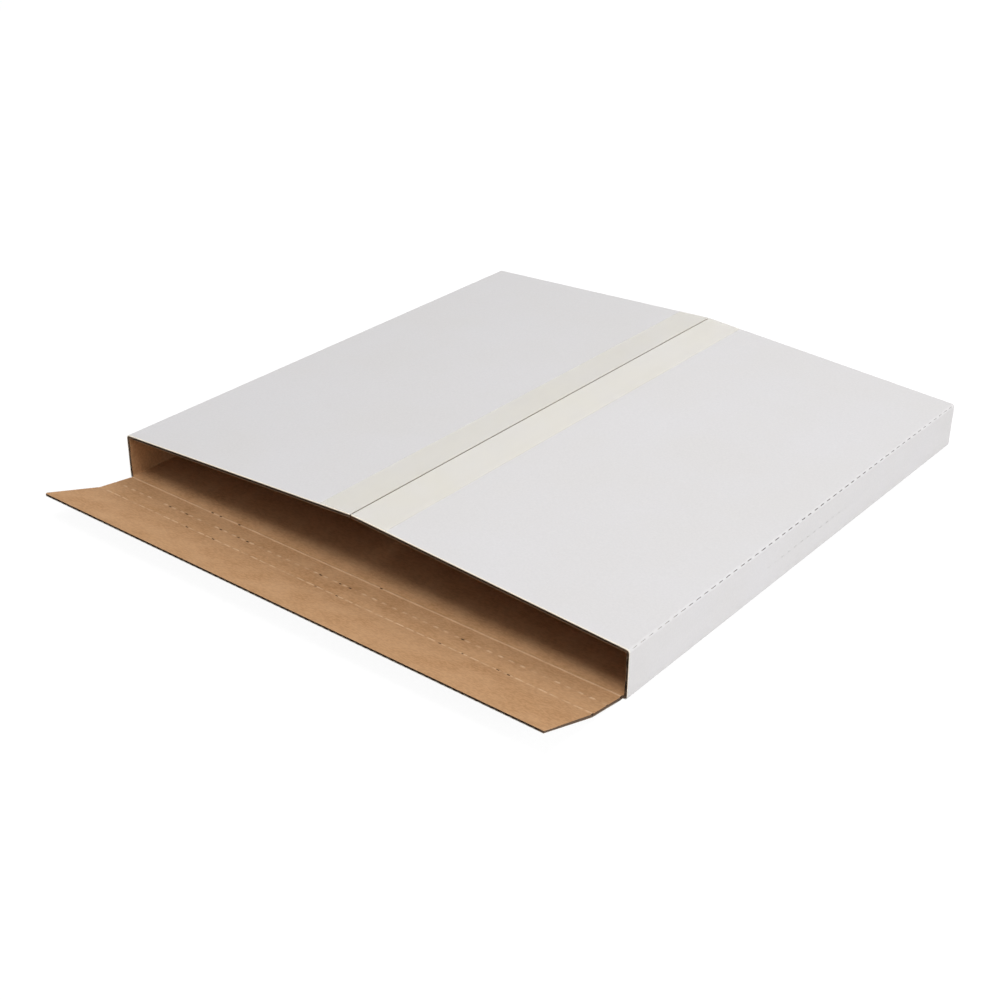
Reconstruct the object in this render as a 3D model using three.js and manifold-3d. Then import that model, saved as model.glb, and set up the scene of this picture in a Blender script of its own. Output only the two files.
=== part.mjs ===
// Record mailer: one die-cut sheet of corrugated board folded into a flat sleeve and taped along
// its top seam. The back end is tucked shut and the front end flap hangs open.
//
// Units are millimetres, +Z is up. The origin is the centre of the underside of the bottom panel,
// X runs from wall to wall and the open front faces -Y. The flutes of the board run along Y.

import * as THREE from 'three';
import { mergeGeometries, mergeVertices } from 'three/addons/utils/BufferGeometryUtils.js';
import Module from 'manifold-3d';

// Board
const BOARD = 1.8; // thickness over both liners
const LINER = 0.25; // thickness of one liner
const FLUTE_PITCH = 3.96; // crest to crest of the fluted paper
const MEDIUM = 0.4; // fluted paper, measured along the board
const CRUSHED_MARGIN = 1.6; // flat stretch beside a fold or a cut, where no flute stands

// Sleeve
const SLEEVE_WIDTH = 325; // over the two walls
const SLEEVE_DEPTH = 320; // walls and top panels, front edge to back edge
const WALL_HEIGHT = 26; // underside of the sleeve to its top folds
const RIDGE_RISE = 9; // height of the seam over the top folds
const SEAM_GAP = 0.8; // between the two top panels
const FOLD_ROUND = 2; // how far a fold is rounded on its outside
const FOLD_FILLET = 0.8; // crushed liner in the inside of a fold

// End flaps
const RISER_LENGTH = 22; // base crease to top crease
const TUCK_LENGTH = 36.4; // top crease to free edge
const SIDE_CLEARANCE = 0.5; // flap edge to the inside of a wall
const END_CLEARANCE = 0.4; // upright riser to the ends of the walls
const HINGE_GAP = 0.3; // between two panels at a crease that moves
const MITRE_ANGLE = 48; // degrees, crushed inner half of the board at a crease that moves
const RISER_TILT = 7.4; // degrees, front riser above the table as it hangs open
const TUCK_KINK = 10; // degrees, front tuck panel above the riser as it hangs open

// Creases and perforations
const CREASE_WIDTH = 1.6; // dent of a crease that is not folded
const CREASE_DEPTH = 0.3; // dent of the same crease, on each face
const CUT_LENGTH = 3.175; // one cut of a perforated crease
const CUT_PITCH = 6.35; // cut to cut
const CUT_WIDTH = 0.4;

// Tape
const TAPE_WIDTH = 43;
const TAPE_THICKNESS = 0.15;
const TAPE_OFFSET = 1; // centre of the tape beside the seam, to +X
const ADHESIVE = 0.1; // board to tape

// Sizes that follow
const HALF = BOARD / 2;
const WALL_X = SLEEVE_WIDTH / 2 - HALF; // middle of a wall
const FOLD_Z = WALL_HEIGHT - HALF; // middle of a top panel at its fold
const ROOF_SLOPE = Math.atan2(RIDGE_RISE, WALL_X);
const FLAP_WIDTH = 2 * (WALL_X - HALF - SIDE_CLEARANCE);
const CREASE_Y = SLEEVE_DEPTH / 2 + END_CLEARANCE + HALF; // base crease from the middle

const CURVE_STEPS = 3;
const OVERSHOOT = 1; // how far a cutter runs past the face that it opens

const wasm = await Module();
wasm.setup();

const radians = THREE.MathUtils.degToRad;
const vector = (x, y) => new THREE.Vector2(x, y);

// Section drawn in X and Z, extruded along Y, and section drawn in Y and Z, extruded along X
const ALONG_Y = new THREE.Matrix4().makeBasis(
  new THREE.Vector3(1, 0, 0), new THREE.Vector3(0, 0, 1), new THREE.Vector3(0, -1, 0));
const ALONG_X = new THREE.Matrix4().makeBasis(
  new THREE.Vector3(0, 1, 0), new THREE.Vector3(0, 0, 1), new THREE.Vector3(1, 0, 0));

// Extrusion of one or more sections, centred on the plane they are drawn in
function extrude(section, length, basis) {
  const settings = { depth: length, bevelEnabled: false, curveSegments: CURVE_STEPS };
  const geometry = new THREE.ExtrudeGeometry(section, settings);
  return geometry.translate(0, 0, -length / 2).applyMatrix4(basis);
}

function toSolid(geometry) {
  const bare = geometry.clone();
  bare.deleteAttribute('normal');
  bare.deleteAttribute('uv');
  const { attributes, index } = mergeVertices(bare);
  return new wasm.Manifold(new wasm.Mesh({
    numProp: 3,
    vertProperties: new Float32Array(attributes.position.array),
    triVerts: new Uint32Array(index.array),
  }));
}

function toGeometry(solid) {
  const { vertProperties, triVerts } = solid.getMesh();
  const geometry = new THREE.BufferGeometry();
  geometry.setAttribute('position', new THREE.BufferAttribute(vertProperties, 3));
  geometry.setIndex(new THREE.BufferAttribute(triVerts, 1));
  geometry.computeVertexNormals();
  return geometry;
}

// Point of a face that runs at a distance to the left of a bent centre line
function facePoint(line, index, distance) {
  const first = Math.min(Math.max(index - 1, 0), line.length - 2);
  const last = Math.min(index, line.length - 2);
  const before = line[first + 1].clone().sub(line[first]).normalize();
  const after = line[last + 1].clone().sub(line[last]).normalize();
  const middle = before.clone().add(after).normalize();
  const reach = distance / middle.dot(before);
  return line[index].clone().add(vector(-middle.y, middle.x).multiplyScalar(reach));
}

// Which way the centre line turns at a point: 1 to the left, -1 to the right, 0 straight on or at an end
function turnAt(line, index) {
  if (index === 0 || index === line.length - 1) return 0;
  const before = line[index].clone().sub(line[index - 1]).normalize();
  const after = line[index + 1].clone().sub(line[index]).normalize();
  const turn = before.cross(after);
  return Math.abs(turn) < 1e-6 ? 0 : Math.sign(turn);
}

// Corners of one face of the board, with the rounding of each
function faceCorners(line, side, thickness, round, fillet) {
  return line.flatMap((point, index) => {
    const corner = facePoint(line, index, side * thickness / 2);
    const turn = turnAt(line, index);
    const inner = index > 0 && index < line.length - 1;
    if (!inner) return [{ corner, radius: 0 }];
    if (turn !== 0) return [{ corner, radius: turn === side ? fillet : round }];
    const along = line[index + 1].clone().sub(point).normalize().multiplyScalar(CREASE_WIDTH / 2);
    const dent = point.clone().lerp(corner, 1 - CREASE_DEPTH / (thickness / 2));
    return [corner.clone().sub(along), dent, corner.clone().add(along)]
      .map((place) => ({ corner: place, radius: 0 }));
  });
}

// Section of the board along a centre line. Its bends are rounded, and a point on a straight
// stretch is a crease, dented on both faces.
function boardSection(line, { thickness = BOARD, round = FOLD_ROUND, fillet = FOLD_FILLET } = {}) {
  const left = faceCorners(line, 1, thickness, round, fillet);
  const right = faceCorners(line, -1, thickness, round, fillet).reverse();
  const corners = [...left, ...right];
  const shape = new THREE.Shape();
  corners.forEach(({ corner, radius }, index) => {
    const previous = corners.at(index - 1).corner;
    const next = corners[(index + 1) % corners.length].corner;
    const entry = corner.clone().add(previous.clone().sub(corner).setLength(radius));
    const exit = corner.clone().add(next.clone().sub(corner).setLength(radius));
    if (index === 0) shape.moveTo(entry.x, entry.y);
    else shape.lineTo(entry.x, entry.y);
    if (radius > 0) shape.quadraticCurveTo(corner.x, corner.y, exit.x, exit.y);
  });
  return shape;
}

// The channels between the fluted paper and the two liners, as triangles along a straight
// stretch of board. They stop short of both ends of the stretch, where the board is crushed.
function fluteChannels(from, to) {
  const along = to.clone().sub(from);
  const count = Math.floor((along.length() - 2 * CRUSHED_MARGIN) / FLUTE_PITCH);
  const start = (along.length() - count * FLUTE_PITCH) / 2;
  along.normalize();
  const across = vector(-along.y, along.x);
  const crest = HALF - LINER;
  const halfWidth = (FLUTE_PITCH - MEDIUM) / 2;
  const tip = crest - 2 * crest * MEDIUM / FLUTE_PITCH;
  const place = (distance, height) => from.clone()
    .addScaledVector(along, distance)
    .addScaledVector(across, height);
  const channels = [];
  for (let half = 1; half < 2 * count; half += 1) {
    const middle = start + half * FLUTE_PITCH / 2;
    const side = half % 2 === 0 ? -1 : 1;
    channels.push([
      place(middle - halfWidth, side * crest),
      place(middle, -side * tip),
      place(middle + halfWidth, side * crest),
    ]);
  }
  return channels;
}

// Cutter for the channels of some stretches of board, centred along Y
function fluteCutter(stretches, length) {
  const channels = stretches.flatMap(([from, to]) => fluteChannels(from, to));
  return extrude(channels.map((points) => new THREE.Shape(points)), length, ALONG_Y);
}

// Flute channels cut in from the free edge of a flap that ends at `edge`, up to `root`
function flutePockets(root, edge, height) {
  const end = edge + Math.sign(edge - root) * OVERSHOOT;
  const stretch = [vector(-FLAP_WIDTH / 2, height), vector(FLAP_WIDTH / 2, height)];
  return toSolid(fluteCutter([stretch], Math.abs(end - root)).translate(0, (root + end) / 2, 0));
}

// Row of cuts along X, centred on the origin. Each is `depth` deep in Z and `width` wide in Y.
function perforation(length, width, depth) {
  const count = Math.floor(length / CUT_PITCH);
  const cuts = Array.from({ length: count }, (_, index) => {
    const cut = new THREE.BoxGeometry(CUT_LENGTH, width, depth);
    return cut.translate((index - (count - 1) / 2) * CUT_PITCH, 0, 0);
  });
  return mergeGeometries(cuts);
}

// Height of a face parallel to the top panels, lifted square off their middle
function roofHeight(x, lift) {
  return FOLD_Z + RIDGE_RISE - Math.abs(x) * Math.tan(ROOF_SLOPE) + lift / Math.cos(ROOF_SLOPE);
}

// Walls, bottom and top panels: a tube of board along Y, open at both ends and at the seam
function wrap() {
  const side = (sign) => [
    vector(sign * SEAM_GAP / 2, roofHeight(SEAM_GAP / 2, 0)),
    vector(sign * WALL_X, FOLD_Z),
    vector(sign * WALL_X, (HALF + FOLD_Z) / 2),
    vector(sign * WALL_X, HALF),
  ];
  const stretches = [-1, 1].flatMap((sign) => {
    const [seam, fold, crease, foot] = side(sign);
    return [[seam, fold], [fold, crease], [crease, foot]];
  });
  const section = boardSection([...side(-1), ...side(1).reverse()]);
  const channels = fluteCutter(stretches, SLEEVE_DEPTH + 2 * OVERSHOOT);
  return toSolid(extrude(section, SLEEVE_DEPTH, ALONG_Y)).subtract(toSolid(channels));
}

// Edge of the bottom panel at the front crease, its inner half crushed back to a mitre
function frontLip() {
  const edge = -CREASE_Y + HINGE_GAP / 2;
  const mitre = HALF * Math.tan(radians(MITRE_ANGLE));
  const inside = -SLEEVE_DEPTH / 2 + CRUSHED_MARGIN;
  const section = new THREE.Shape([
    vector(edge, 0),
    vector(inside, 0),
    vector(inside, BOARD),
    vector(edge + mitre, BOARD),
    vector(edge, HALF),
  ]);
  return toSolid(extrude(section, FLAP_WIDTH, ALONG_X));
}

// Back flap, folded up behind the walls and tucked in under the top panels
function backFlap() {
  const top = HALF + RISER_LENGTH;
  const edge = CREASE_Y - TUCK_LENGTH;
  const section = boardSection([
    vector(SLEEVE_DEPTH / 2 - FOLD_ROUND, HALF),
    vector(CREASE_Y, HALF),
    vector(CREASE_Y, (HALF + top) / 2),
    vector(CREASE_Y, top),
    vector(edge, top),
  ]);
  const pockets = flutePockets(CREASE_Y - FOLD_ROUND - CRUSHED_MARGIN, edge, top);
  return toSolid(extrude(section, FLAP_WIDTH, ALONG_X)).subtract(pockets);
}

// Cuts of the perforated top folds, square through the corner between wall and top panel
function foldPerforations() {
  const depth = 2 * Math.SQRT2 * (BOARD + OVERSHOOT);
  const rows = [-1, 1].map((sign) => perforation(SLEEVE_DEPTH, CUT_WIDTH, depth)
    .rotateX(sign * Math.PI / 4)
    .rotateZ(Math.PI / 2)
    .translate(sign * WALL_X, 0, FOLD_Z));
  return toSolid(mergeGeometries(rows));
}

function sleeveSheet() {
  return toGeometry(wrap().add(frontLip()).add(backFlap()).subtract(foldPerforations()));
}

// End of a front panel at a crease that lies `distance` out from the panel's hinge, from the outer
// to the inner face. `inward` is 1 where the panel lies beyond the crease and -1 where it ends there.
function mitredEnd(distance, inward) {
  const lip = distance + inward * HINGE_GAP / 2;
  const back = lip + inward * HALF * Math.tan(radians(MITRE_ANGLE));
  return [vector(-lip, -HALF), vector(-lip, 0), vector(-back, HALF)];
}

// Front riser, flat along -Y from its base crease at the origin, with its middle crease
function frontRiser() {
  const middle = RISER_LENGTH / 2;
  const dent = (face) => [
    vector(-middle - CREASE_WIDTH / 2, face),
    vector(-middle, face - Math.sign(face) * CREASE_DEPTH),
    vector(-middle + CREASE_WIDTH / 2, face),
  ];
  const section = new THREE.Shape([
    ...mitredEnd(0, 1), ...dent(HALF).reverse(),
    ...mitredEnd(RISER_LENGTH, -1).reverse(), ...dent(-HALF),
  ]);
  const depth = BOARD + 2 * OVERSHOOT;
  const middleCuts = perforation(FLAP_WIDTH, CUT_WIDTH, depth).translate(0, -middle, 0);
  const board = toSolid(extrude(section, FLAP_WIDTH, ALONG_X));
  return toGeometry(board.subtract(toSolid(middleCuts)).subtract(topCreaseCuts(-RISER_LENGTH)));
}

// Cuts of the top crease, which open a notch in the lip of the panel on each side of it
function topCreaseCuts(y) {
  const width = HINGE_GAP + 2 * CUT_WIDTH;
  return toSolid(perforation(FLAP_WIDTH, width, BOARD + 2 * OVERSHOOT).translate(0, y, 0));
}

// Front tuck panel, flat along -Y from the top crease at the origin to its fluted free edge
function frontTuck() {
  const section = new THREE.Shape([
    ...mitredEnd(0, 1), vector(-TUCK_LENGTH, HALF), vector(-TUCK_LENGTH, -HALF),
  ]);
  const board = toSolid(extrude(section, FLAP_WIDTH, ALONG_X));
  const pockets = flutePockets(-CRUSHED_MARGIN - BOARD, -TUCK_LENGTH, 0);
  return toGeometry(board.subtract(pockets).subtract(topCreaseCuts(0)));
}

// Tape over the seam, from the front edge to the back edge of the top panels
function seamTape() {
  const lift = HALF + ADHESIVE + TAPE_THICKNESS / 2;
  const line = [TAPE_OFFSET - TAPE_WIDTH / 2, 0, TAPE_OFFSET + TAPE_WIDTH / 2]
    .map((x) => vector(x, roofHeight(x, lift)));
  const section = boardSection(line, { thickness: TAPE_THICKNESS, round: 0, fillet: 0 });
  return extrude(section, SLEEVE_DEPTH, ALONG_Y);
}

function finish(color, roughness) {
  return new THREE.MeshStandardMaterial({ color, roughness, metalness: 0 });
}

function piece(name, geometry, material) {
  const mesh = new THREE.Mesh(geometry, material);
  mesh.name = name;
  return mesh;
}

const mailer = new THREE.Group();
mailer.add(piece('sleeve_sheet', sleeveSheet(), finish(0xdedcdb, 0.75)));
mailer.add(piece('seam_tape', seamTape(), finish(0xdfded5, 0.35)));

const riserHinge = new THREE.Group();
riserHinge.position.set(0, -CREASE_Y, HALF);
riserHinge.rotation.x = -radians(RISER_TILT);
riserHinge.add(piece('front_flap_riser', frontRiser(), finish(0xb18a64, 0.85)));
mailer.add(riserHinge);

const tuckHinge = new THREE.Group();
tuckHinge.position.y = -RISER_LENGTH;
tuckHinge.rotation.x = -radians(TUCK_KINK);
tuckHinge.add(piece('front_tuck_panel', frontTuck(), finish(0xb99169, 0.85)));
riserHinge.add(tuckHinge);

export default mailer;
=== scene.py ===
"""Record mailer: the folded board sleeve, its taped seam and its open front flap."""

import logging
import math
from dataclasses import dataclass, field
from enum import Enum
from typing import Any, Callable

import bpy
from mathutils import Matrix, Vector, noise


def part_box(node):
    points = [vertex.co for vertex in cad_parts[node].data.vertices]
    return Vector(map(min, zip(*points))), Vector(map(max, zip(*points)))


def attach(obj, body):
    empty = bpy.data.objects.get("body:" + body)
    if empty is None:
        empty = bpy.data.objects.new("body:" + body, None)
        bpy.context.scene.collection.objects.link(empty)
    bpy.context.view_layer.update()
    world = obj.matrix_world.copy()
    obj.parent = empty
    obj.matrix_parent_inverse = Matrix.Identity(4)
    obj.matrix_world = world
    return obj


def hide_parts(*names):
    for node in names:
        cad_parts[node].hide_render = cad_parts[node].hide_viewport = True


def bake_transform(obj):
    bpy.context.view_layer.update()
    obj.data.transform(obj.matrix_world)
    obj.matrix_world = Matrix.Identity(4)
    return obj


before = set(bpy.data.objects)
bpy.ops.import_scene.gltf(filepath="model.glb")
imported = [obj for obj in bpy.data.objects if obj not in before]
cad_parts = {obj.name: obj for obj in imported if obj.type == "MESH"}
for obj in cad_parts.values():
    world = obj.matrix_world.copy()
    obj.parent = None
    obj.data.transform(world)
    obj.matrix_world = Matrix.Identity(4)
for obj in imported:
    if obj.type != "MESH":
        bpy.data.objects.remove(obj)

LOG = logging.getLogger("record_mailer")

Colour = tuple[float, float, float]
MM = 0.001


class Body(Enum):
    """The rigid bodies of the mailer."""

    SLEEVE = "sleeve"
    FLAP = "front_flap"
    TUCK = "front_tuck"


class Slot(Enum):
    """The record's material slots."""

    BOARD = "board"
    KRAFT_BOARD = "kraft_board"
    TAPE = "tape"


@dataclass(frozen=True)
class Board:
    """Section of the corrugated board, in metres.

    Args:
        thickness: Over both liners.
        liner: One liner.
        flute_pitch: Crest to crest of the fluted paper.
        fold_round: How far a fold is rounded on its outside.
        cut_pitch: Cut to cut along a perforated crease.
        cut_length: Length of one cut.
    """

    thickness: float = 1.8 * MM
    liner: float = 0.25 * MM
    flute_pitch: float = 3.96 * MM
    fold_round: float = 2.0 * MM
    cut_pitch: float = 6.35 * MM
    cut_length: float = 3.175 * MM


BOARD = Board()
SKIN = 0.12 * MM
DEPTH = "depth"
WEAR_AND_HOLE_SHADE = "wear_and_hole_shade"


class Graph:
    """A material's node tree, with short calls that add and join nodes."""

    def __init__(self, name: str) -> None:
        """Starts an empty material.

        Args:
            name: Name of the material.
        """
        self.material = bpy.data.materials.new(name)
        self.material.use_nodes = True
        self.tree = self.material.node_tree
        self.tree.nodes.clear()

    def add(self, kind: str, inputs: dict[Any, Any] | None = None, **settings: Any) -> bpy.types.Node:
        """Adds one node.

        Args:
            kind: Node type, without the ShaderNode prefix.
            inputs: Values or sockets for its inputs, by name or number.
            **settings: Properties of the node.

        Returns:
            The new node.
        """
        node = self.tree.nodes.new("ShaderNode" + kind)
        for name, value in settings.items():
            setattr(node, name, value)
        for key, value in (inputs or {}).items():
            if isinstance(value, bpy.types.NodeSocket):
                self.tree.links.new(value, node.inputs[key])
            else:
                node.inputs[key].default_value = value
        return node

    def noise(self, vector: Any, scale: float, detail: float = 3.0) -> Any:
        """Returns the value socket of a noise texture.

        Args:
            vector: Socket of the coordinates.
            scale: Features per metre.
            detail: Octaves.

        Returns:
            The socket of the noise value.
        """
        node = self.add("TexNoise", {"Vector": vector, "Scale": scale, "Detail": detail})
        return node.outputs["Fac"]

    def spread(self, value: Any, low: float, high: float, to_low: float, to_high: float) -> Any:
        """Maps a value from one range to another and clamps it."""
        node = self.add("MapRange", {0: value, 1: low, 2: high, 3: to_low, 4: to_high})
        return node.outputs[0]

    def mix(self, factor: Any, first: Any, second: Any, blend: str = "MIX") -> Any:
        """Mixes two colours and returns the colour socket."""
        node = self.add("Mix", data_type="RGBA", blend_type=blend)
        for key, value in ((0, factor), (6, first), (7, second)):
            if isinstance(value, bpy.types.NodeSocket):
                self.tree.links.new(value, node.inputs[key])
            elif isinstance(value, tuple):
                node.inputs[key].default_value = (*value, 1.0)
            else:
                node.inputs[key].default_value = value
        return node.outputs[2]

    def math(self, operation: str, first: Any, second: Any = 0.0) -> Any:
        """Joins two values by an arithmetic operation and returns the socket."""
        return self.add("Math", {0: first, 1: second}, operation=operation).outputs[0]

    def close(self, surface: Any) -> bpy.types.Material:
        """Joins a shader to the output and returns the material."""
        self.add("OutputMaterial", {"Surface": surface})
        return self.material


@dataclass(frozen=True)
class BoardFinish:
    """White-faced kraft corrugated board.

    Args:
        white: Outside liner.
        white_warm: Warmer patches of it.
        cut_edge_highlight: Cut edge of the outside liner, paler and creamier: a painted highlight.
        flute_shadow: Fluted paper and glue lines in the section, painted near black as shade.
        kraft: Inside liner.
        kraft_dark: Darker fibres of the inside liner.
        kraft_pale: Paler fibres of the inside liner.
        kraft_worn: Kraft liner stretched over a crease.
        kraft_cut_shade: Cut edge of the inside liner, painted dark as shade.
        hole: Inside of an open cut, painted near black as shade.
    """

    white: Colour = (0.662, 0.650, 0.658)
    white_warm: Colour = (0.655, 0.641, 0.640)
    cut_edge_highlight: Colour = (0.930, 0.860, 0.740)
    flute_shadow: Colour = (0.055, 0.034, 0.020)
    kraft: Colour = (0.474, 0.264, 0.126)
    kraft_dark: Colour = (0.330, 0.172, 0.074)
    kraft_pale: Colour = (0.600, 0.365, 0.200)
    kraft_worn: Colour = (0.700, 0.480, 0.300)
    kraft_cut_shade: Colour = (0.130, 0.075, 0.042)
    hole: Colour = (0.030, 0.018, 0.011)

    def material(self) -> bpy.types.Material:
        """Builds the material, which reads how deep in the board a point lies.

        Returns:
            The finished material.
        """
        graph = Graph("white_faced_kraft_board")
        place = graph.add("TexCoord").outputs["Object"]
        depth = graph.add("Attribute", attribute_name=DEPTH).outputs["Fac"]
        liner = BOARD.liner / BOARD.thickness
        inside = graph.math("GREATER_THAN", depth, 1.0 - 0.01)
        kraft_edge = graph.math("GREATER_THAN", depth, 1.0 - liner)
        cut = graph.math("GREATER_THAN", depth, 0.07)
        core = graph.math("GREATER_THAN", depth, liner)

        white = self._white(graph, place)
        kraft = self._kraft(graph, place)
        # Painted shade: the fluted core of the cut section is coloured near black.
        section_shade = graph.mix(graph.noise(place, 2500.0), self.flute_shadow, self.kraft_cut_shade)
        # Painted highlight: the cut edge of the white liner is coloured paler and creamier than the liner.
        colour = graph.mix(cut, white, self.cut_edge_highlight)
        colour = graph.mix(core, colour, section_shade)
        # Painted shade: the cut edge of the inside liner is coloured dark.
        colour = graph.mix(kraft_edge, colour, self.kraft_cut_shade)
        colour = graph.mix(inside, colour, kraft)
        wear_and_hole_shade = graph.add("Attribute", attribute_name=WEAR_AND_HOLE_SHADE).outputs["Fac"]
        colour = graph.mix(graph.spread(wear_and_hole_shade, 0.0, 1.0, 0.0, 0.8), colour, self.kraft_worn)
        # Painted shade: below zero, at the lips of open cuts, the colour goes near black.
        colour = graph.mix(graph.spread(wear_and_hole_shade, -1.0, 0.0, 1.0, 0.0), colour, self.hole)

        rough = graph.spread(inside, 0.0, 1.0, 0.62, 0.86)
        bump = self._bump(graph, place, inside)
        shader = graph.add("BsdfPrincipled", {
            "Base Color": colour, "Roughness": rough, "Normal": bump, "Specular IOR Level": 0.25,
        })
        return graph.close(shader.outputs["BSDF"])

    def _white(self, graph: Graph, place: Any) -> Any:
        """White liner: faint clouds, a warmer cast in patches and a few grey fibres."""
        clouds = graph.spread(graph.noise(place, 22.0, 4.0), 0.35, 0.65, 0.0, 1.0)
        base = graph.mix(clouds, self.white, self.white_warm)
        grain = graph.spread(graph.noise(place, 900.0, 5.0), 0.3, 0.7, 0.0, 1.0)
        pale = graph.mix(grain, (0.975, 0.975, 0.975), (1.02, 1.02, 1.02))
        return graph.mix(1.0, base, pale, "MULTIPLY")

    def _kraft(self, graph: Graph, place: Any) -> Any:
        """Kraft liner: clouds, fibres drawn out across the flutes, and small dark flecks."""
        stretched = graph.add("Mapping", {"Vector": place, "Scale": (0.55, 1.0, 1.0)}).outputs[0]
        fibres = graph.spread(graph.noise(stretched, 900.0, 4.0), 0.40, 0.60, 0.0, 1.0)
        clouds = graph.spread(graph.noise(place, 70.0, 5.0), 0.32, 0.68, 0.0, 1.0)
        base = graph.mix(graph.math("MULTIPLY", fibres, 0.60), self.kraft, self.kraft_dark)
        base = graph.mix(graph.math("MULTIPLY", clouds, 0.40), base, self.kraft_pale)
        flecks = graph.spread(graph.noise(place, 1300.0, 2.0), 0.70, 0.78, 0.0, 0.55)
        return graph.mix(flecks, base, self.kraft_dark)

    def _bump(self, graph: Graph, place: Any, inside: Any) -> Any:
        """Paper tooth, with the flutes showing faintly through both liners."""
        axes = graph.add("SeparateXYZ", {0: place})
        across = graph.math("ADD", axes.outputs["X"], axes.outputs["Z"])
        wave = graph.math("SINE", graph.math("MULTIPLY", across, 2.0 * math.pi / BOARD.flute_pitch))
        tooth = graph.noise(place, 1800.0, 6.0)
        drift = graph.noise(place, 90.0, 3.0)
        height = graph.math("MULTIPLY", wave, 0.16)
        height = graph.math("ADD", height, graph.math("MULTIPLY", drift, 0.9))
        height = graph.math("ADD", height, graph.math("MULTIPLY", tooth, graph.spread(inside, 0.0, 1.0, 0.45, 1.1)))
        return graph.add("Bump", {"Height": height, "Strength": 0.35, "Distance": 0.06 * MM}).outputs[0]


@dataclass(frozen=True)
class TapeFinish:
    """Clear packing tape, slightly yellow with its adhesive.

    Args:
        film: Colour of the film.
        film_clear: Colour where the adhesive is thin.
        cover: How much of the board the film hides.
    """

    film: Colour = (0.700, 0.660, 0.480)
    film_clear: Colour = (0.700, 0.670, 0.560)
    cover: float = 0.13

    def material(self) -> bpy.types.Material:
        """Builds the film: thin, tinted, with a soft sheen and small trapped bubbles."""
        graph = Graph("clear_packing_tape")
        place = graph.add("TexCoord").outputs["Object"]
        clouds = graph.spread(graph.noise(place, 40.0, 4.0), 0.35, 0.65, 0.0, 1.0)
        colour = graph.mix(clouds, self.film, self.film_clear)
        bubbles = graph.spread(graph.noise(place, 420.0, 2.0), 0.60, 0.72, 0.0, 1.0)
        rough = graph.spread(bubbles, 0.0, 1.0, 0.30, 0.42)
        pulled = graph.add("Mapping", {"Vector": place, "Scale": (1.0, 0.08, 1.0)}).outputs[0]
        height = graph.math("ADD", graph.noise(pulled, 260.0, 3.0), graph.math("MULTIPLY", bubbles, 0.25))
        bump = graph.add("Bump", {"Height": height, "Strength": 0.25, "Distance": 0.05 * MM}).outputs[0]
        shader = graph.add("BsdfPrincipled", {
            "Base Color": colour, "Roughness": rough, "Normal": bump,
            "IOR": 1.48, "Alpha": self.cover,
        })
        return graph.close(shader.outputs["BSDF"])


def deselect() -> None:
    """Leaves edit mode and clears the selection."""
    if bpy.context.object and bpy.context.object.mode != "OBJECT":
        bpy.ops.object.mode_set(mode="OBJECT")
    bpy.ops.object.select_all(action="DESELECT")


def activate(obj: bpy.types.Object) -> None:
    """Makes one object the only selected and the active one."""
    deselect()
    obj.select_set(True)
    bpy.context.view_layer.objects.active = obj


def apply_modifier(obj: bpy.types.Object, kind: str, **settings: Any) -> None:
    """Adds a modifier and applies it.

    Args:
        obj: The mesh object.
        kind: Modifier type.
        **settings: Its properties.
    """
    modifier = obj.modifiers.new(kind.lower(), kind)
    for name, value in settings.items():
        setattr(modifier, name, value)
    activate(obj)
    bpy.ops.object.modifier_apply(modifier=modifier.name)


def settle(obj: bpy.types.Object) -> None:
    """Moves the object's place into its mesh."""
    activate(obj)
    bpy.ops.object.transform_apply(location=True, rotation=True, scale=True)


def smooth(obj: bpy.types.Object, degrees: float = 32.0) -> None:
    """Shades the mesh smooth apart from its sharp edges."""
    activate(obj)
    bpy.ops.object.shade_smooth_by_angle(angle=math.radians(degrees))


def write(obj: bpy.types.Object, name: str, value: Callable[[Vector], float]) -> None:
    """Stores a value on each point, such as how deep in the board it lies.

    Args:
        obj: The board piece.
        name: Name of the attribute.
        value: Value at a place.
    """
    attribute = obj.data.attributes.new(name, "FLOAT", "POINT")
    for vertex, item in zip(obj.data.vertices, attribute.data):
        item.value = value(vertex.co)


def grid(name: str, size: tuple[float, float], steps: tuple[int, int], place: Vector) -> bpy.types.Object:
    """Adds a flat grid.

    Args:
        name: Name of the piece.
        size: Length in X and in Y.
        steps: Cells in X and in Y.
        place: Its centre.

    Returns:
        The new object, settled at the origin.
    """
    deselect()
    bpy.ops.mesh.primitive_grid_add(x_subdivisions=steps[0], y_subdivisions=steps[1], size=1.0, location=place)
    obj = bpy.context.object
    obj.name = name
    obj.data.name = name
    obj.scale = (size[0], size[1], 1.0)
    settle(obj)
    return obj


@dataclass
class Shape:
    """Sizes of the mailer, read from the frame where the frame has them."""

    low: Vector = field(default_factory=lambda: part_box("sleeve_sheet")[0])
    high: Vector = field(default_factory=lambda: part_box("sleeve_sheet")[1])
    front: float = -160.0 * MM
    wall_height: float = 26.0 * MM
    ridge_rise: float = 9.0 * MM
    hinge_gap: float = 0.3 * MM
    riser_length: float = 22.0 * MM
    riser_tilt: float = math.radians(7.4)
    tuck_tilt: float = math.radians(17.4)

    @property
    def half(self) -> float:
        """Half the board."""
        return BOARD.thickness / 2.0

    @property
    def wall_x(self) -> float:
        """Middle of a wall."""
        return self.high.x - self.half

    @property
    def slope(self) -> float:
        """Slope of the top panels."""
        return math.atan2(self.ridge_rise, self.wall_x)

    @property
    def base_hinge(self) -> Vector:
        """Base crease of the front flap, in the middle of the board."""
        return Vector((0.0, self.low.y - self.hinge_gap / 2.0, self.half))

    @property
    def top_hinge(self) -> Vector:
        """Top crease of the front flap, in the middle of the board."""
        out = Vector((0.0, -math.cos(self.riser_tilt), math.sin(self.riser_tilt)))
        return self.base_hinge + out * self.riser_length

    def roof(self, x: float, lift: float = 0.0) -> float:
        """Height of a face parallel to the top panels, lifted off their middle."""
        crest = self.wall_height - self.half + self.ridge_rise
        return crest - abs(x) * math.tan(self.slope) + lift / math.cos(self.slope)


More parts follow.
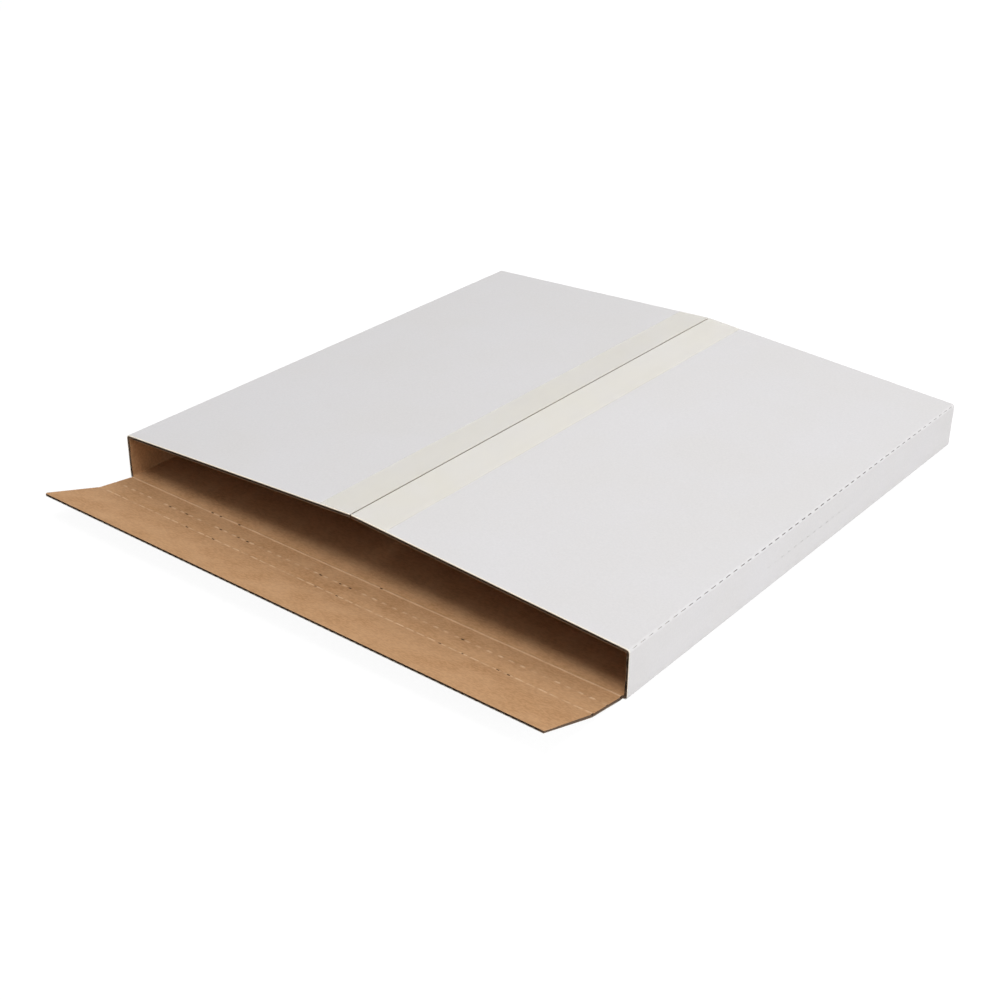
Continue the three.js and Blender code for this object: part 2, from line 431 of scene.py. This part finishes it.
class FoldedSheet:
    """The sleeve and the two flap panels, each a dressed copy of its solid."""

    def __init__(self, shape: Shape, material: bpy.types.Material) -> None:
        """Keeps the sizes and the finish.

        Args:
            shape: Sizes of the mailer.
            material: Board finish.
        """
        self.shape = shape
        self.material = material

    def build(self) -> list[bpy.types.Object]:
        """Builds the three panels of the sheet.

        Returns:
            The pieces.
        """
        shape = self.shape
        return [
            self._panel("sleeve_sheet", "folded_sleeve", Body.SLEEVE, Slot.BOARD, self._sleeve_depth),
            self._panel("front_flap_riser", "flap_riser_board", Body.FLAP, Slot.KRAFT_BOARD,
                        lambda place: self._flap_depth(place, shape.base_hinge, shape.riser_tilt)),
            self._panel("front_tuck_panel", "tuck_panel_board", Body.TUCK, Slot.KRAFT_BOARD,
                        lambda place: self._flap_depth(place, shape.top_hinge, shape.tuck_tilt)),
        ]

    def _panel(self, node: str, name: str, body: Body, slot: Slot,
               depth: Callable[[Vector], float]) -> bpy.types.Object:
        """Copies a solid, closes its mesh, marks its liners and dresses it."""
        obj = bpy.data.objects.new(name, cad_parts[node].data.copy())
        obj.data.name = name
        bpy.context.collection.objects.link(obj)
        activate(obj)
        bpy.ops.object.mode_set(mode="EDIT")
        bpy.ops.mesh.select_all(action="SELECT")
        bpy.ops.mesh.remove_doubles(threshold=0.001 * MM)
        if body is Body.TUCK:
            self._blunt(obj)
        bpy.ops.object.mode_set(mode="OBJECT")
        write(obj, DEPTH, depth)
        if body is Body.TUCK:
            self._crush(obj)
        smooth(obj)
        apply_modifier(obj, "WEIGHTED_NORMAL", keep_sharp=True, weight=100)
        obj.data.materials.clear()
        obj.data.materials.append(self.material)
        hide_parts(node)
        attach(obj, body.value)
        return obj

    def _blunt(self, obj: bpy.types.Object) -> None:
        """Cuts the bumped left corner off the tuck panel, which is in edit mode."""
        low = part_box("front_tuck_panel")[0]
        corner = Vector((low.x + 0.9 * MM, low.y + 0.9 * MM, 0.0))
        bpy.ops.mesh.select_all(action="SELECT")
        bpy.ops.mesh.bisect(plane_co=corner, plane_no=(-1.0, -0.8, 0.0), use_fill=True, clear_outer=True)

    def _crush(self, obj: bpy.types.Object) -> None:
        """Thins the free edge of the tuck panel from its outside, as the die leaves it."""
        shape = self.shape
        out = Vector((0.0, -math.cos(shape.tuck_tilt), math.sin(shape.tuck_tilt)))
        inward = Vector((0.0, math.sin(shape.tuck_tilt), math.cos(shape.tuck_tilt)))
        reach = max((vertex.co - shape.top_hinge).dot(out) for vertex in obj.data.vertices)
        for vertex, depth in zip(obj.data.vertices, obj.data.attributes[DEPTH].data):
            if (vertex.co - shape.top_hinge).dot(out) > reach - 0.8 * MM:
                vertex.co += inward * (1.0 - depth.value) * 0.35 * BOARD.thickness

    def _sleeve_depth(self, place: Vector) -> float:
        """Depth in the folded sleeve, measured from the nearest outside faces."""
        shape = self.shape
        middle_crease = shape.wall_height / 2.0
        tuck_top = shape.half * 2.0 + shape.riser_length
        in_back = place.y > -shape.front + 0.1 * MM
        in_tuck = place.y > 0.12 and abs(place.x) < shape.wall_x - 1.1 * MM \
            and tuck_top - BOARD.thickness - 0.3 * MM < place.z < tuck_top + 0.1 * MM
        if in_back or in_tuck:
            gaps = [shape.high.y - place.y, tuck_top - place.z, place.z]
        else:
            roof = (shape.roof(place.x, shape.half) - place.z) * math.cos(shape.slope)
            gaps = [shape.high.x - abs(place.x), place.z, roof]
        nearest, second = sorted(gaps)[:2]
        covered = 0.0 if in_back or in_tuck else 0.5
        if nearest < 0.6 * MM and second < BOARD.fold_round + 0.05 * MM:
            return covered if nearest > 0.2 * MM and place.z > middle_crease else 0.0
        if abs(place.z - middle_crease) < 1.2 * MM and nearest < BOARD.thickness + 0.1 * MM:
            crushed = covered if nearest > 0.1 * MM else 0.0
            return crushed if nearest < shape.half else 1.0
        return min(max(nearest / BOARD.thickness, 0.0), 1.0)

    def _flap_depth(self, place: Vector, hinge: Vector, tilt: float) -> float:
        """Depth in a straight flap panel that hangs at a tilt from its hinge."""
        inward = Vector((0.0, math.sin(tilt), math.cos(tilt)))
        return min(max((place - hinge).dot(inward) / BOARD.thickness + 0.5, 0.0), 1.0)


class LinerStrip:
    """A strip of one liner over a crease, modelled flat with its cuts and then laid in place."""

    cell = 0.55 * MM

    def __init__(self, name: str, length: float, reach: float, rows: int) -> None:
        """Models the flat strip, its length along X.

        Args:
            name: Name of the piece.
            length: Length of the crease.
            reach: Half its width.
            rows: Rows of cells over the width, an odd number.
        """
        columns = round(length / self.cell)
        self.reach = reach
        self.half_row = reach / rows
        self.obj = grid(name, (length, 2.0 * reach), (columns, rows), Vector())

    def open_cuts(self, middles: list[float], length: float, rows: int = 1) -> None:
        """Deletes the cells of each cut from the middle of the strip.

        Args:
            middles: Places of the cuts along the strip.
            length: Length of a cut.
            rows: Rows of cells a cut is wide.
        """
        activate(self.obj)
        bpy.ops.object.mode_set(mode="EDIT")
        bpy.ops.mesh.select_mode(type="FACE")
        bpy.ops.mesh.select_all(action="DESELECT")
        bpy.ops.object.mode_set(mode="OBJECT")
        for polygon in self.obj.data.polygons:
            along = any(abs(polygon.center.x - middle) < length / 2.0 for middle in middles)
            polygon.select = along and abs(polygon.center.y) < rows * self.half_row
        bpy.ops.object.mode_set(mode="EDIT")
        bpy.ops.mesh.delete(type="FACE")
        bpy.ops.object.mode_set(mode="OBJECT")

    def narrow_cuts(self, width: Callable[[float], float]) -> None:
        """Pulls the lips of the cuts together.

        Args:
            width: Share of the row's width left open, by place along the strip.
        """
        for vertex in self.obj.data.vertices:
            if abs(vertex.co.y) < 1.1 * self.half_row:
                vertex.co.y *= width(vertex.co.x)

    def lay(self, place: Callable[[Vector], Vector], wear_and_hole_shade: Callable[[Vector], float],
            level: float, flip: bool) -> None:
        """Moves each point from the flat strip to its place and gives the strip its thickness.

        Args:
            place: Place on the mailer of a flat point.
            wear_and_hole_shade: How far the paper is stretched and rubbed pale at a flat point, or -1 where an open
                cut is painted dark as shade.
            level: Depth in the board, 0 for the white liner and 1 for the kraft liner.
            flip: Whether the strip has to be turned over first.
        """
        write(self.obj, DEPTH, lambda flat: level)
        write(self.obj, WEAR_AND_HOLE_SHADE, wear_and_hole_shade)
        for vertex in self.obj.data.vertices:
            vertex.co = place(vertex.co)
        activate(self.obj)
        bpy.ops.object.mode_set(mode="EDIT")
        bpy.ops.mesh.select_all(action="SELECT")
        if flip:
            bpy.ops.mesh.flip_normals()
        bpy.ops.object.mode_set(mode="OBJECT")
        apply_modifier(self.obj, "SOLIDIFY", thickness=SKIN, offset=1.0)
        smooth(self.obj, 60.0)

    def dress(self, material: bpy.types.Material, slot: Slot) -> bpy.types.Object:
        """Gives the strip its material and returns the piece."""
        self.obj.data.materials.append(material)
        return self.obj

    def sunk(self, across: float, rise: float) -> float:
        """Height of the strip's underside: below the face at its edges and `rise` above inside.

        Args:
            across: Place across the strip.
            rise: Height of the outside of the strip over the face of the board.

        Returns:
            The height over the face of the board.
        """
        edge = 1.0 - abs(across / self.reach) ** 4
        return (rise + 0.02 * MM) * edge - 0.02 * MM - SKIN


@dataclass
class Crease:
    """The liner over one crease of the front flap.

    Args:
        name: Name of the piece.
        hinge: Middle of the crease, in the middle of the board.
        before: Tilt of the panel nearer the sleeve.
        after: Tilt of the panel farther out.
        face: 1 for the kraft inside, -1 for the white outside.
        bead: Height of the raised bead.
        dash: Length of the raised dashes between the cuts, 0 for a bead without a break.
        holes: Places of the cuts that stand open.
        bodies: The body on each side, the same twice where the crease is not a joint.
        seed: Start of its unevenness.
    """

    name: str
    hinge: Vector
    before: float
    after: float
    face: int
    bodies: tuple[Body, Body]
    bead: float = 0.0
    dash: float = 0.0
    holes: tuple[float, ...] = ()
    seed: float = 3.0
    reach: float = 1.9 * MM

    def build(self, width: float, material: bpy.types.Material) -> bpy.types.Object:
        """Builds the strip and bends it to both panels; a strip that stays within one body rides on it.

        Args:
            width: Length of the crease.
            material: Board finish.

        Returns:
            The piece.
        """
        self.strip = LinerStrip(self.name, width, self.reach, 17)
        self.strip.open_cuts([hole * MM for hole in self.holes], 1.2 * MM, 3)
        self.strip.lay(self._bent, self._wear_and_hole_shade, max(self.face, 0), self.face < 0)
        slot = Slot.KRAFT_BOARD if self.face > 0 else Slot.BOARD
        piece = self.strip.dress(material, slot)
        first, second = self.bodies
        if first is second:
            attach(piece, first.value)
        else:
            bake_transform(piece)
        return piece

    def _bent(self, flat: Vector) -> Vector:
        """Place on the mailer of a flat point, with Y across the crease."""
        crumple = 0.03 * MM * noise.noise(Vector((flat.x * 700.0, flat.y * 900.0, self.seed)))
        rise = 0.03 * MM + self.bead * self._ridge(flat) + crumple
        lift = BOARD.thickness / 2.0 + self.strip.sunk(flat.y, rise)
        tilt = self.before if flat.y > 0.0 else self.after
        return self.hinge + Matrix.Rotation(-tilt, 3, "X") @ Vector((flat.x, flat.y, self.face * lift))

    def _ridge(self, flat: Vector) -> float:
        """Height share of the bead: a narrow ridge that wanders and is broken by the cuts."""
        wander = 0.16 * MM * noise.noise(Vector((flat.x * 90.0, 1.7, self.seed)))
        ridge = math.exp(-((flat.y - wander) / (0.50 * MM)) ** 2)
        worn = 0.80 + (1.4 if self.dash > 0.0 else 0.5) * noise.noise(Vector((flat.x * 130.0, 4.1, self.seed)))
        if self.dash > 0.0:
            place = (flat.x / BOARD.cut_pitch + 0.5) % 1.0 - 0.5
            past = abs(place) * BOARD.cut_pitch - self.dash / 2.0
            worn *= min(max(0.5 - past / (0.8 * MM), 0.0), 1.0)
        return ridge * min(max(worn, 0.0), 1.1)

    def _wear_and_hole_shade(self, flat: Vector) -> float:
        """How pale the stretched paper is on the ridge, or -1 at the lips of an open cut."""
        # Painted shade: -1 marks the lips of an open cut, coloured near black.
        if any(abs(flat.x - hole * MM) < 0.7 * MM for hole in self.holes) and abs(flat.y) < 0.4 * MM:
            return -1.0
        return min(self._ridge(flat), 1.0) if self.bead > 0.0 else 0.0


class FlapCreases:
    """The liners over the base, middle and top creases of the front flap.

    The open holes are the cuts that stand open, in millimetres from the middle.
    """

    base_holes = (-97.1, -91.0, -77.4, 20.1)
    middle_holes = (-117.5, -104.8, -79.4, -66.7, -60.3, -9.5, 3.2, 9.5, 79.4)
    top_holes = (-92.6, -73.5, -2.4, 11.2, 75.2, 88.5, 108.6, 114.7)

    def __init__(self, shape: Shape, material: bpy.types.Material) -> None:
        """Keeps the sizes and the finish.

        Args:
            shape: Sizes of the mailer.
            material: Board finish.
        """
        self.shape = shape
        self.material = material

    def build(self) -> list[bpy.types.Object]:
        """Builds the strips.

        Returns:
            The pieces.
        """
        shape = self.shape
        middle = shape.base_hinge.lerp(shape.top_hinge, 0.5)
        riser, tuck = shape.riser_tilt, shape.tuck_tilt
        low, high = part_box("front_tuck_panel")
        base = (Body.SLEEVE, Body.FLAP)
        single = (Body.FLAP, Body.FLAP)
        top = (Body.FLAP, Body.TUCK)
        creases = [
            Crease("base_crease_inside", shape.base_hinge, 0.0, riser, 1, base,
                   bead=0.36 * MM, holes=self.base_holes, seed=3.0),
            Crease("base_crease_outside", shape.base_hinge, 0.0, riser, -1, base, seed=4.0),
            Crease("middle_crease_inside", middle, riser, riser, 1, single,
                   bead=0.26 * MM, dash=2.6 * MM, holes=self.middle_holes, seed=5.0),
            Crease("top_crease_inside", shape.top_hinge, riser, tuck, 1, top,
                   bead=0.30 * MM, dash=4.6 * MM, holes=self.top_holes, seed=6.0),
            Crease("top_crease_outside", shape.top_hinge, riser, tuck, -1, top, seed=7.0),
        ]
        return [crease.build(high.x - low.x - 0.6 * MM, self.material) for crease in creases]


class CutLips:
    """The white liner dragged over the cut at the open front end of the sleeve."""

    radius = 0.36 * MM
    proud = 0.14 * MM

    def __init__(self, shape: Shape, material: bpy.types.Material) -> None:
        """Keeps the sizes and the finish.

        Args:
            shape: Sizes of the mailer.
            material: Board finish.
        """
        self.shape = shape
        self.material = material

    def build(self) -> list[bpy.types.Object]:
        """Builds the lip of each half, from the seam over the fold and down the wall.

        Returns:
            The pieces.
        """
        return [self._lip(side, f"{word}_front_lip") for side, word in ((-1, "left"), (1, "right"))]

    def _lip(self, side: int, name: str) -> bpy.types.Object:
        """Builds the lip of one half."""
        shape = self.shape
        top = (shape.wall_x - 1.1 * MM - 0.5 * MM) / math.cos(shape.slope)
        arc = BOARD.fold_round * (math.pi / 2.0 - shape.slope)
        length = top + arc + shape.wall_height - 2.0 * BOARD.fold_round
        strip = LinerStrip(name, length, self.radius, 9)

        def place(flat: Vector) -> Vector:
            """Wraps a flat point over the edge of the board."""
            corner, outward = self._contour(flat.x + length / 2.0, top, arc)
            turn = math.radians(45.0 + 70.0 * flat.y / strip.reach)
            rub = 1.0 + 0.12 * noise.noise(Vector((flat.x * 160.0, 5.0, side)))
            under = self.radius - SKIN
            lift = self.proud * rub - self.radius + under * math.sin(turn)
            y = shape.front - self.proud * rub + self.radius - under * math.cos(turn)
            spot = corner + outward * lift
            return Vector((side * min(spot.x, shape.high.x - SKIN - 0.01 * MM), y, spot.z))

        # Depth 0.10 colours the lip with the painted highlight of the cut white liner edge.
        strip.lay(place, lambda flat: 0.0, 0.10, side < 0)
        piece = strip.dress(self.material, Slot.BOARD)
        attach(piece, Body.SLEEVE.value)
        return piece

    def _contour(self, distance: float, top: float, arc: float) -> tuple[Vector, Vector]:
        """Place and outward direction on the outside of the right half, from the seam on.

        Args:
            distance: Distance along the outside.
            top: Length of the top panel.
            arc: Length of the fold.

        Returns:
            The place and the direction, both in the XZ plane.
        """
        shape = self.shape
        centre_x = shape.high.x - BOARD.fold_round
        centre_z = shape.roof(centre_x, shape.half) - BOARD.fold_round / math.cos(shape.slope)
        if distance < top:
            x = 0.5 * MM + distance * math.cos(shape.slope)
            outward = Vector((math.sin(shape.slope), 0.0, math.cos(shape.slope)))
            return Vector((x, 0.0, shape.roof(x, shape.half))), outward
        angle = max(math.pi / 2.0 - shape.slope - (distance - top) / BOARD.fold_round, 0.0)
        outward = Vector((math.cos(angle), 0.0, math.sin(angle)))
        corner = Vector((centre_x, 0.0, centre_z - max(distance - top - arc, 0.0)))
        return corner + outward * BOARD.fold_round, outward


class SideCreases:
    """The white liner over the top folds and over the middle creases of the walls."""

    def __init__(self, shape: Shape, material: bpy.types.Material) -> None:
        """Keeps the sizes and the finish.

        Args:
            shape: Sizes of the mailer.
            material: Board finish.
        """
        self.shape = shape
        self.material = material
        self.length = -2.0 * shape.front
        count = int(self.length / BOARD.cut_pitch)
        self.cuts = [(index - (count - 1) / 2.0) * BOARD.cut_pitch for index in range(count)]

    def build(self) -> list[bpy.types.Object]:
        """Builds the strips of both sides.

        Returns:
            The pieces.
        """
        pieces = []
        for side, word in ((-1, "left"), (1, "right")):
            pieces.append(self._fold(side, f"{word}_top_fold"))
            pieces.append(self._wall(side, f"{word}_wall_crease"))
        return pieces

    def _fold(self, side: int, name: str) -> bpy.types.Object:
        """Builds the liner round one top fold, with its perforation."""
        shape = self.shape
        turn = math.pi / 2.0 - shape.slope
        strip = LinerStrip(name, self.length, BOARD.fold_round * turn / 2.0, 11)
        centre_x = shape.high.x - BOARD.fold_round
        centre_z = shape.roof(centre_x, shape.half) - BOARD.fold_round / math.cos(shape.slope)

        def place(flat: Vector) -> Vector:
            """Wraps a flat point round the fold."""
            angle = (flat.y / strip.reach + 1.0) * turn / 2.0
            radius = BOARD.fold_round + strip.sunk(flat.y, 0.09 * MM)
            x = min(centre_x + radius * math.cos(angle), shape.high.x - SKIN - 0.005 * MM)
            return Vector((side * x, flat.x, centre_z + radius * math.sin(angle)))

        strip.open_cuts(self.cuts, BOARD.cut_length + 0.3 * MM)
        strip.narrow_cuts(lambda y: 0.40 + 0.75 * max(math.cos(math.pi * y / (330.0 * MM)), 0.0))
        return self._finish(strip, place, side)

    def _wall(self, side: int, name: str) -> bpy.types.Object:
        """Builds the liner over the crushed middle crease of one wall."""
        shape = self.shape
        strip = LinerStrip(name, self.length, 1.1 * MM, 7)

        def place(flat: Vector) -> Vector:
            """Stands a flat point up against the wall, in a shallow dent."""
            dent = 0.02 * MM * math.exp(-(flat.y / (0.5 * MM)) ** 2)
            x = shape.high.x - 0.02 * MM + strip.sunk(flat.y, 0.0) - dent
            return Vector((side * x, flat.x, shape.wall_height / 2.0 + flat.y))

        strip.open_cuts(self.cuts, 2.2 * MM)
        strip.narrow_cuts(lambda y: 0.03 + 0.75 * math.exp(-(y / (42.0 * MM)) ** 4))
        return self._finish(strip, place, side)

    def _finish(self, strip: LinerStrip, place: Callable[[Vector], Vector], side: int) -> bpy.types.Object:
        """Lays a strip, dresses it and lets it ride on the sleeve."""
        strip.lay(place, lambda flat: 0.0, 0.0, side < 0)
        piece = strip.dress(self.material, Slot.BOARD)
        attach(piece, Body.SLEEVE.value)
        return piece


@dataclass
class SeamTape:
    """The strip of packing tape over the seam.

    Args:
        shape: Sizes of the mailer.
        thickness: Thickness of the film.
        dip: How far the film sinks into the open seam.
    """

    shape: Shape
    thickness: float = 0.06 * MM
    dip: float = 0.12 * MM

    def build(self, material: bpy.types.Material) -> bpy.types.Object:
        """Builds the tape over both top panels.

        Args:
            material: Tape finish.

        Returns:
            The piece.
        """
        low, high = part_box("seam_tape")
        size = (high.x - low.x, high.y - low.y)
        centre = Vector(((low.x + high.x) / 2.0, (low.y + high.y) / 2.0, 0.0))
        tape = grid("packing_tape", size, (86, 160), centre)
        for vertex in tape.data.vertices:
            vertex.co.z = self._height(vertex.co.x, vertex.co.y)
        apply_modifier(tape, "SOLIDIFY", thickness=self.thickness, offset=1.0)
        smooth(tape, 40.0)
        tape.data.materials.append(material)
        tape.visible_shadow = False
        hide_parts("seam_tape")
        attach(tape, Body.SLEEVE.value)
        return tape

    def _height(self, x: float, y: float) -> float:
        """Height of the film's underside, with small wrinkles and the dip at the seam."""
        wrinkle = 0.04 * MM * noise.noise(Vector((x * 60.0, y * 14.0, 2.0)))
        sink = self.dip * math.exp(-(x / (0.7 * MM)) ** 2)
        crown = 0.25 * MM * math.exp(-(x / (2.5 * MM)) ** 2) * math.tan(self.shape.slope)
        return self.shape.roof(x, self.shape.half) + 0.08 * MM + wrinkle - sink - crown


@dataclass(frozen=True)
class Studio:
    """Pale floor, soft light and the camera at the photo's viewing angle.

    Args:
        photo_side: Side of the square photo, in pixels.
        focal: Focal length, in the same pixels.
        place: Place of the camera, in metres.
        pitch: Degrees below the horizon.
        yaw: Degrees to the left of +Y, as a negative turn.
        roll: Degrees of turn about the view.
    """

    photo_side: float = 1000.0
    focal: float = 1674.93
    place: tuple[float, float, float] = (0.48702, -0.66624, 0.42504)
    pitch: float = 28.602
    yaw: float = -38.057
    roll: float = 0.764

    def build(self) -> None:
        """Sets up the world, the floor, the lamps and the camera."""
        self._world()
        self._floor()
        self._lamp("overhead", Vector((0.2, -0.5, 1.5)), 0.6, 11.5)
        self._lamp("behind", Vector((-0.1, 1.2, 1.2)), 1.6, 10.5)
        self._lamp("side", Vector((1.7, -0.1, 0.6)), 1.2, 14.0)
        self._camera()
        bpy.context.scene.view_settings.view_transform = "Standard"

    def _world(self) -> None:
        """Plain light from all sides, seen as pure white."""
        world = bpy.data.worlds.new("studio")
        bpy.context.scene.world = world
        world.use_nodes = True
        tree = world.node_tree
        tree.nodes.clear()
        path = tree.nodes.new("ShaderNodeLightPath")
        seen = tree.nodes.new("ShaderNodeMath")
        seen.operation = "MAXIMUM"
        seen_all = tree.nodes.new("ShaderNodeMath")
        seen_all.operation = "MAXIMUM"
        tree.links.new(path.outputs["Is Camera Ray"], seen.inputs[0])
        tree.links.new(path.outputs["Is Glossy Ray"], seen.inputs[1])
        tree.links.new(seen.outputs[0], seen_all.inputs[0])
        tree.links.new(path.outputs["Is Transmission Ray"], seen_all.inputs[1])
        light = tree.nodes.new("ShaderNodeBackground")
        light.inputs["Strength"].default_value = 0.32
        white = tree.nodes.new("ShaderNodeBackground")
        white.inputs["Color"].default_value = (1.0, 1.0, 1.0, 1.0)
        light.inputs["Color"].default_value = (1.0, 1.0, 1.0, 1.0)
        mix = tree.nodes.new("ShaderNodeMixShader")
        tree.links.new(seen_all.outputs[0], mix.inputs[0])
        tree.links.new(light.outputs[0], mix.inputs[1])
        tree.links.new(white.outputs[0], mix.inputs[2])
        output = tree.nodes.new("ShaderNodeOutputWorld")
        tree.links.new(mix.outputs[0], output.inputs["Surface"])

    def _floor(self) -> None:
        """A wide white floor that is lit by itself for the camera and keeps a soft shadow."""
        floor = grid("floor", (8.0, 8.0), (1, 1), Vector((0.0, 0.0, -0.05 * MM)))
        graph = Graph("studio_floor")
        paper = graph.add("BsdfDiffuse", {"Color": (0.86, 0.86, 0.86, 1.0)})
        glow = graph.add("Emission", {"Color": (1.0, 1.0, 1.0, 1.0), "Strength": 1.08})
        path = graph.add("LightPath")
        share = graph.math("MULTIPLY", path.outputs["Is Camera Ray"], 0.86)
        mix = graph.add("MixShader", {0: share, 1: paper.outputs[0], 2: glow.outputs[0]})
        floor.data.materials.append(graph.close(mix.outputs[0]))

    def _lamp(self, name: str, place: Vector, size: float, power: float) -> None:
        """Adds a square soft lamp that faces the mailer."""
        data = bpy.data.lights.new(name, "AREA")
        data.size = size
        data.energy = power
        lamp = bpy.data.objects.new(name, data)
        bpy.context.collection.objects.link(lamp)
        lamp.location = place
        lamp.rotation_euler = (-place).to_track_quat("-Z", "Y").to_euler()

    def _camera(self) -> None:
        """Adds the camera."""
        data = bpy.data.cameras.new("camera")
        data.sensor_width = 36.0
        data.lens = data.sensor_width * self.focal / self.photo_side
        data.clip_start = 0.01
        camera = bpy.data.objects.new("camera", data)
        bpy.context.collection.objects.link(camera)
        pitch, yaw, roll = (math.radians(angle) for angle in (self.pitch, self.yaw, self.roll))
        ahead = Vector((math.sin(yaw) * math.cos(pitch), math.cos(yaw) * math.cos(pitch), -math.sin(pitch)))
        right = Vector((math.cos(yaw), -math.sin(yaw), 0.0))
        upward = right.cross(ahead)
        turned = right * math.cos(roll) + upward * math.sin(roll)
        top = upward * math.cos(roll) - right * math.sin(roll)
        axes = Matrix((turned, top, -ahead)).transposed().to_4x4()
        camera.matrix_world = Matrix.Translation(self.place) @ axes
        bpy.context.scene.camera = camera


def main() -> None:
    """Builds the mailer and its studio in order."""
    logging.basicConfig(level=logging.INFO, format="%(name)s: %(message)s")
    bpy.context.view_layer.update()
    shape = Shape()
    Studio().build()
    board = BoardFinish().material()
    pieces = FoldedSheet(shape, board).build()
    pieces += FlapCreases(shape, board).build()
    pieces += SideCreases(shape, board).build()
    pieces += CutLips(shape, board).build()
    pieces.append(SeamTape(shape).build(TapeFinish().material()))
    for piece in pieces:
        LOG.info("%s: %d faces", piece.name, len(piece.data.polygons))


if __name__ == "__main__":
    main()
